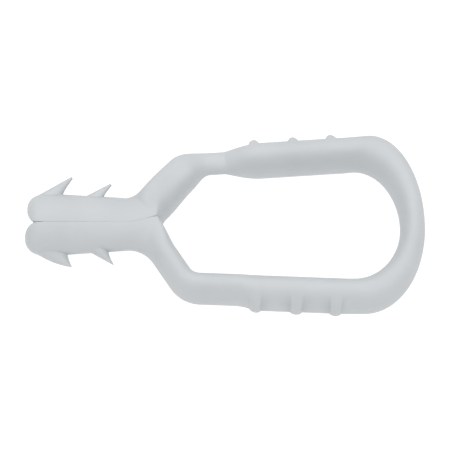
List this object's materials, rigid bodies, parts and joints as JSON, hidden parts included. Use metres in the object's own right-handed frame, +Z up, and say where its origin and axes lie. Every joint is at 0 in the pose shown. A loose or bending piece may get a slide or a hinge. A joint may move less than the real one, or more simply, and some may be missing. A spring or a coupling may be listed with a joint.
{
  "type": "wall anchor with cable loop",
  "caption": "Push-in nylon wall anchor: a split, barbed shank that opens into a long loop with finger ribs for holding a cable or thin pipe.",
  "frame": {"origin": "middle of the length and width, on the floor it lies on", "axes": "+X along the shank from the split tip to the loop's crown; +Y across the loop to the side with the thin neck; +Z up through the depth of the moulding"},
  "size_m": [0.0506, 0.0244, 0.0074],
  "materials": {
    "nylon": "satin"
  },
  "bodies": {
    "fixed_side": {"fixed_leg": "nylon", "fixed_front_barb": "nylon", "fixed_rear_barb": "nylon", "fixed_arm": "nylon", "fixed_grip": "nylon", "fixed_bend": "nylon"},
    "crown": {"crown": "nylon"},
    "swing_side": {"swing_bend": "nylon", "swing_grip": "nylon", "neck": "nylon"},
    "swing_leg": {"swing_arm": "nylon", "swing_leg": "nylon", "swing_front_barb": "nylon", "swing_rear_barb": "nylon"}
  },
  "joints": [
    {"name": "fixed_bow_flex", "type": "hinge", "parent": "fixed_side", "child": "crown", "pos_m": [0.0223, -0.00628, 0.0037], "axis": [0, 0, -1], "range_deg": [0, 8], "stiffness_Nm_per_rad": 0.5},
    {"name": "swing_bow_flex", "type": "hinge", "parent": "crown", "child": "swing_side", "pos_m": [0.02234, 0.00583, 0.0037], "axis": [0, 0, -1], "range_deg": [0, 8], "stiffness_Nm_per_rad": 0.5},
    {"name": "neck_flex", "type": "hinge", "parent": "swing_side", "child": "swing_leg", "pos_m": [-0.0032, 0.0083, 0.0037], "axis": [0, 0, -1], "range_deg": [0, 25], "stiffness_Nm_per_rad": 0.3}
  ]
}
